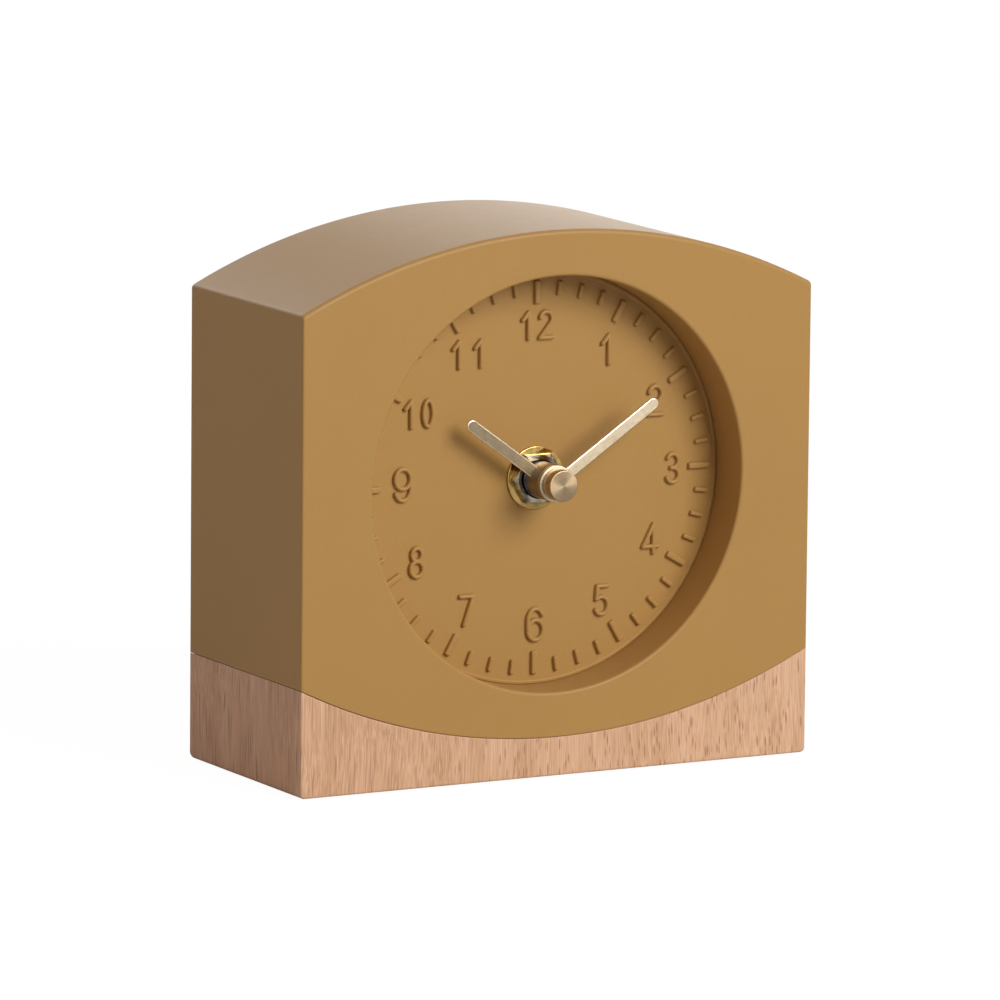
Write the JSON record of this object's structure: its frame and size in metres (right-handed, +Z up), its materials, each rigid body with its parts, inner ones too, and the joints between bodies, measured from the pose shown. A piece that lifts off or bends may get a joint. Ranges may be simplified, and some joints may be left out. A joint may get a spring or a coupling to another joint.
{
  "type": "table clock",
  "caption": "Free-standing quartz table clock: arched matt housing on a wooden base with a curved seam, round sunk dial with raised numerals and marks, and slim bar hands.",
  "frame": {"origin": "middle of the overall footprint, on the surface that the feet stand on", "axes": "+Z up, the dial faces -Y, +X is on the viewer's right"},
  "size_m": [0.13, 0.0572, 0.1248],
  "materials": {
    "paint": "matt ochre moulding",
    "oak": "pale oak, sanded and oiled",
    "pale_gold": "fine brushed pale gold",
    "brass": "polished brass",
    "steel": "zinc plated",
    "copper": "enamelled copper wire",
    "black_plastic": "black moulding",
    "white_plastic": "white acetal",
    "rubber": "matt",
    "board": "green circuit board",
    "battery_can": "plain printed sleeve"
  },
  "bodies": {
    "case": {"front_housing": "paint", "back_cover": "paint", "wood_base": "oak", "dial": "paint", "back_cover_screw_1": "steel", "back_cover_screw_2": "steel", "back_cover_screw_3": "steel", "back_cover_screw_4": "steel", "base_screw_1": "steel", "base_screw_2": "steel", "dial_screw_1": "steel", "dial_screw_2": "steel", "dial_screw_3": "steel", "dial_screw_4": "steel", "foot_pad_1": "rubber", "foot_pad_2": "rubber", "foot_pad_3": "rubber", "foot_pad_4": "rubber", "movement_gasket": "rubber", "dial_washer": "brass", "dial_nut": "brass", "movement_case": "black_plastic", "movement_back_cover": "black_plastic", "stator": "steel", "coil_core": "steel", "coil_bobbin": "white_plastic", "coil_winding": "copper", "circuit_board": "board", "circuit_chip": "black_plastic", "quartz_crystal": "steel", "negative_contact": "steel", "positive_contact": "steel"},
    "minute": {"minute_arbor": "brass", "clutch_washer": "steel", "minute_hand": "pale_gold", "hand_cap": "brass"},
    "hour": {"hour_wheel": "brass", "hour_hand": "pale_gold"},
    "motion": {"minute_wheel": "white_plastic"},
    "setting": {"setting_stem": "white_plastic", "setting_knob": "white_plastic"},
    "centre": {"centre_wheel": "white_plastic"},
    "third": {"third_wheel": "white_plastic"},
    "seconds": {"seconds_wheel": "white_plastic"},
    "intermediate": {"intermediate_wheel": "white_plastic"},
    "rotor": {"rotor_pinion": "white_plastic", "rotor_magnet": "steel"},
    "cell": {"battery": "battery_can"}
  },
  "joints": [
    {"name": "minute_turn", "type": "hinge", "parent": "case", "child": "minute", "pos_m": [0, 0, 0.06705], "axis": [0, 1, 0], "continuous": true},
    {"name": "hour_turn", "type": "hinge", "parent": "case", "child": "hour", "pos_m": [0, 0, 0.06705], "axis": [0, 1, 0], "continuous": true},
    {"name": "motion_turn", "type": "hinge", "parent": "case", "child": "motion", "pos_m": [0.0085, 0, 0.06477], "axis": [0, 1, 0], "continuous": true},
    {"name": "setting_turn", "type": "hinge", "parent": "case", "child": "setting", "pos_m": [0.01677, 0, 0.06778], "axis": [0, 1, 0], "continuous": true},
    {"name": "seconds_turn", "type": "hinge", "parent": "case", "child": "seconds", "pos_m": [0, 0, 0.06705], "axis": [0, 1, 0], "continuous": true},
    {"name": "third_turn", "type": "hinge", "parent": "case", "child": "third", "pos_m": [-0.00958, 0, 0.07054], "axis": [0, 1, 0], "continuous": true},
    {"name": "centre_turn", "type": "hinge", "parent": "case", "child": "centre", "pos_m": [0, 0, 0.06705], "axis": [0, 1, 0], "continuous": true},
    {"name": "intermediate_turn", "type": "hinge", "parent": "case", "child": "intermediate", "pos_m": [0.00272, 0, 0.07719], "axis": [0, 1, 0], "continuous": true},
    {"name": "rotor_turn", "type": "hinge", "parent": "case", "child": "rotor", "pos_m": [0.01016, 0, 0.07851], "axis": [0, 1, 0], "continuous": true},
    {"name": "battery_slide", "type": "slide", "parent": "case", "child": "cell", "axis": [0, 1, 0], "range_m": [0, 0.045]}
  ],
  "couplings": [
    {"joint": "hour_turn", "follows": "minute_turn", "ratio": 0.083333},
    {"joint": "motion_turn", "follows": "minute_turn", "ratio": -0.33333},
    {"joint": "setting_turn", "follows": "minute_turn", "ratio": 1},
    {"joint": "third_turn", "follows": "seconds_turn", "ratio": -0.125},
    {"joint": "centre_turn", "follows": "seconds_turn", "ratio": 0.016667},
    {"joint": "intermediate_turn", "follows": "seconds_turn", "ratio": -6},
    {"joint": "rotor_turn", "follows": "seconds_turn", "ratio": 30}
  ]
}
